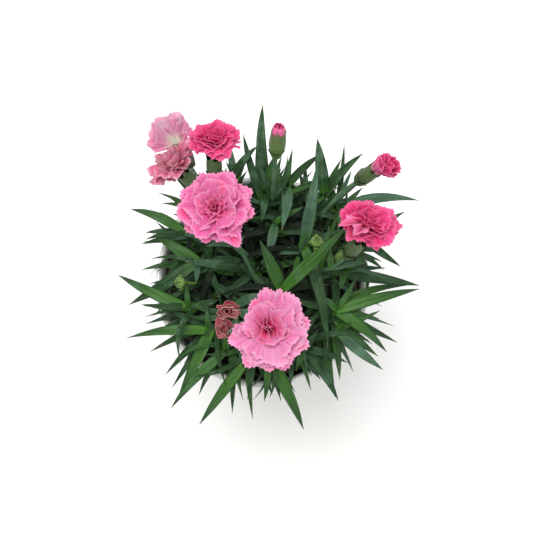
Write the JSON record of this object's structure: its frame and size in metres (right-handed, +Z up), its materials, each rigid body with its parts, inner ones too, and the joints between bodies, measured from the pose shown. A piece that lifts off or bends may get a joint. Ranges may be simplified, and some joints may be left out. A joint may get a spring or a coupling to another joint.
{
  "type": "dianthus plant in a pot",
  "caption": "Mini carnation with pink fringed flowers, buds and narrow leaves, growing in a dark nursery pot that stands in a white glazed cover pot.",
  "frame": {"origin": "centre of the cover pot's flat foot, on the surface it stands on", "axes": "+Z up along the pot's axis, +X to the right and +Y to the back, away from the side nearest the viewer"},
  "size_m": [0.187, 0.1952, 0.2542],
  "materials": {
    "white_glaze": "smooth satin glaze",
    "dark_pot": "matt injection-moulded",
    "potting_soil": null,
    "leaf": null,
    "flower_stem": null,
    "calyx": null,
    "petal_pink": null,
    "petal_pale_pink": null,
    "petal_hot_pink": null,
    "petal_faded": null,
    "petal_wilted": null,
    "petal_spent": null
  },
  "bodies": {
    "root": {"cover_pot": "white_glaze", "grow_pot": "dark_pot", "soil": "potting_soil", "shoot_east": "leaf", "shoot_east_inner": "leaf", "shoot_south_east": "leaf", "shoot_south_south_east": "leaf", "shoot_south": "leaf", "shoot_south_south_west": "leaf", "shoot_south_west_low": "leaf", "shoot_south_west": "leaf", "shoot_west": "leaf", "shoot_west_upper": "leaf", "shoot_west_north_west": "leaf", "shoot_north_west": "leaf", "shoot_north_north_west": "leaf", "shoot_north": "leaf", "shoot_north_north_east": "leaf", "shoot_north_east": "leaf", "shoot_east_north_east": "leaf", "shoot_east_upper": "leaf", "shoot_heart_east": "leaf", "shoot_heart_south": "leaf", "shoot_heart_west": "leaf", "shoot_heart_north": "leaf", "shoot_heart_south_west": "leaf", "stem_left": "flower_stem", "stem_front": "flower_stem", "stem_back": "flower_stem", "stem_right": "flower_stem", "stem_faded": "flower_stem", "stem_wilted": "flower_stem", "stem_closed_bud": "flower_stem", "stem_half_open_bud": "flower_stem", "stem_spent": "flower_stem", "calyx_left": "calyx", "calyx_front": "calyx", "calyx_back": "calyx", "calyx_right": "calyx", "calyx_faded": "calyx", "calyx_wilted": "calyx", "calyx_closed_bud": "calyx", "calyx_half_open_bud": "calyx", "calyx_spent_upper": "calyx", "calyx_spent_lower": "calyx", "petals_left": "petal_pink", "petals_front": "petal_pale_pink", "petals_back": "petal_hot_pink", "petals_right": "petal_hot_pink", "petals_faded": "petal_faded", "petals_wilted": "petal_wilted", "petals_closed_bud": "petal_hot_pink", "petals_half_open_bud": "petal_hot_pink", "petals_spent_upper": "petal_spent", "petals_spent_lower": "petal_spent", "young_bud_east": "calyx", "young_bud_heart": "calyx", "young_bud_west": "calyx"}
  },
  "joints": []
}
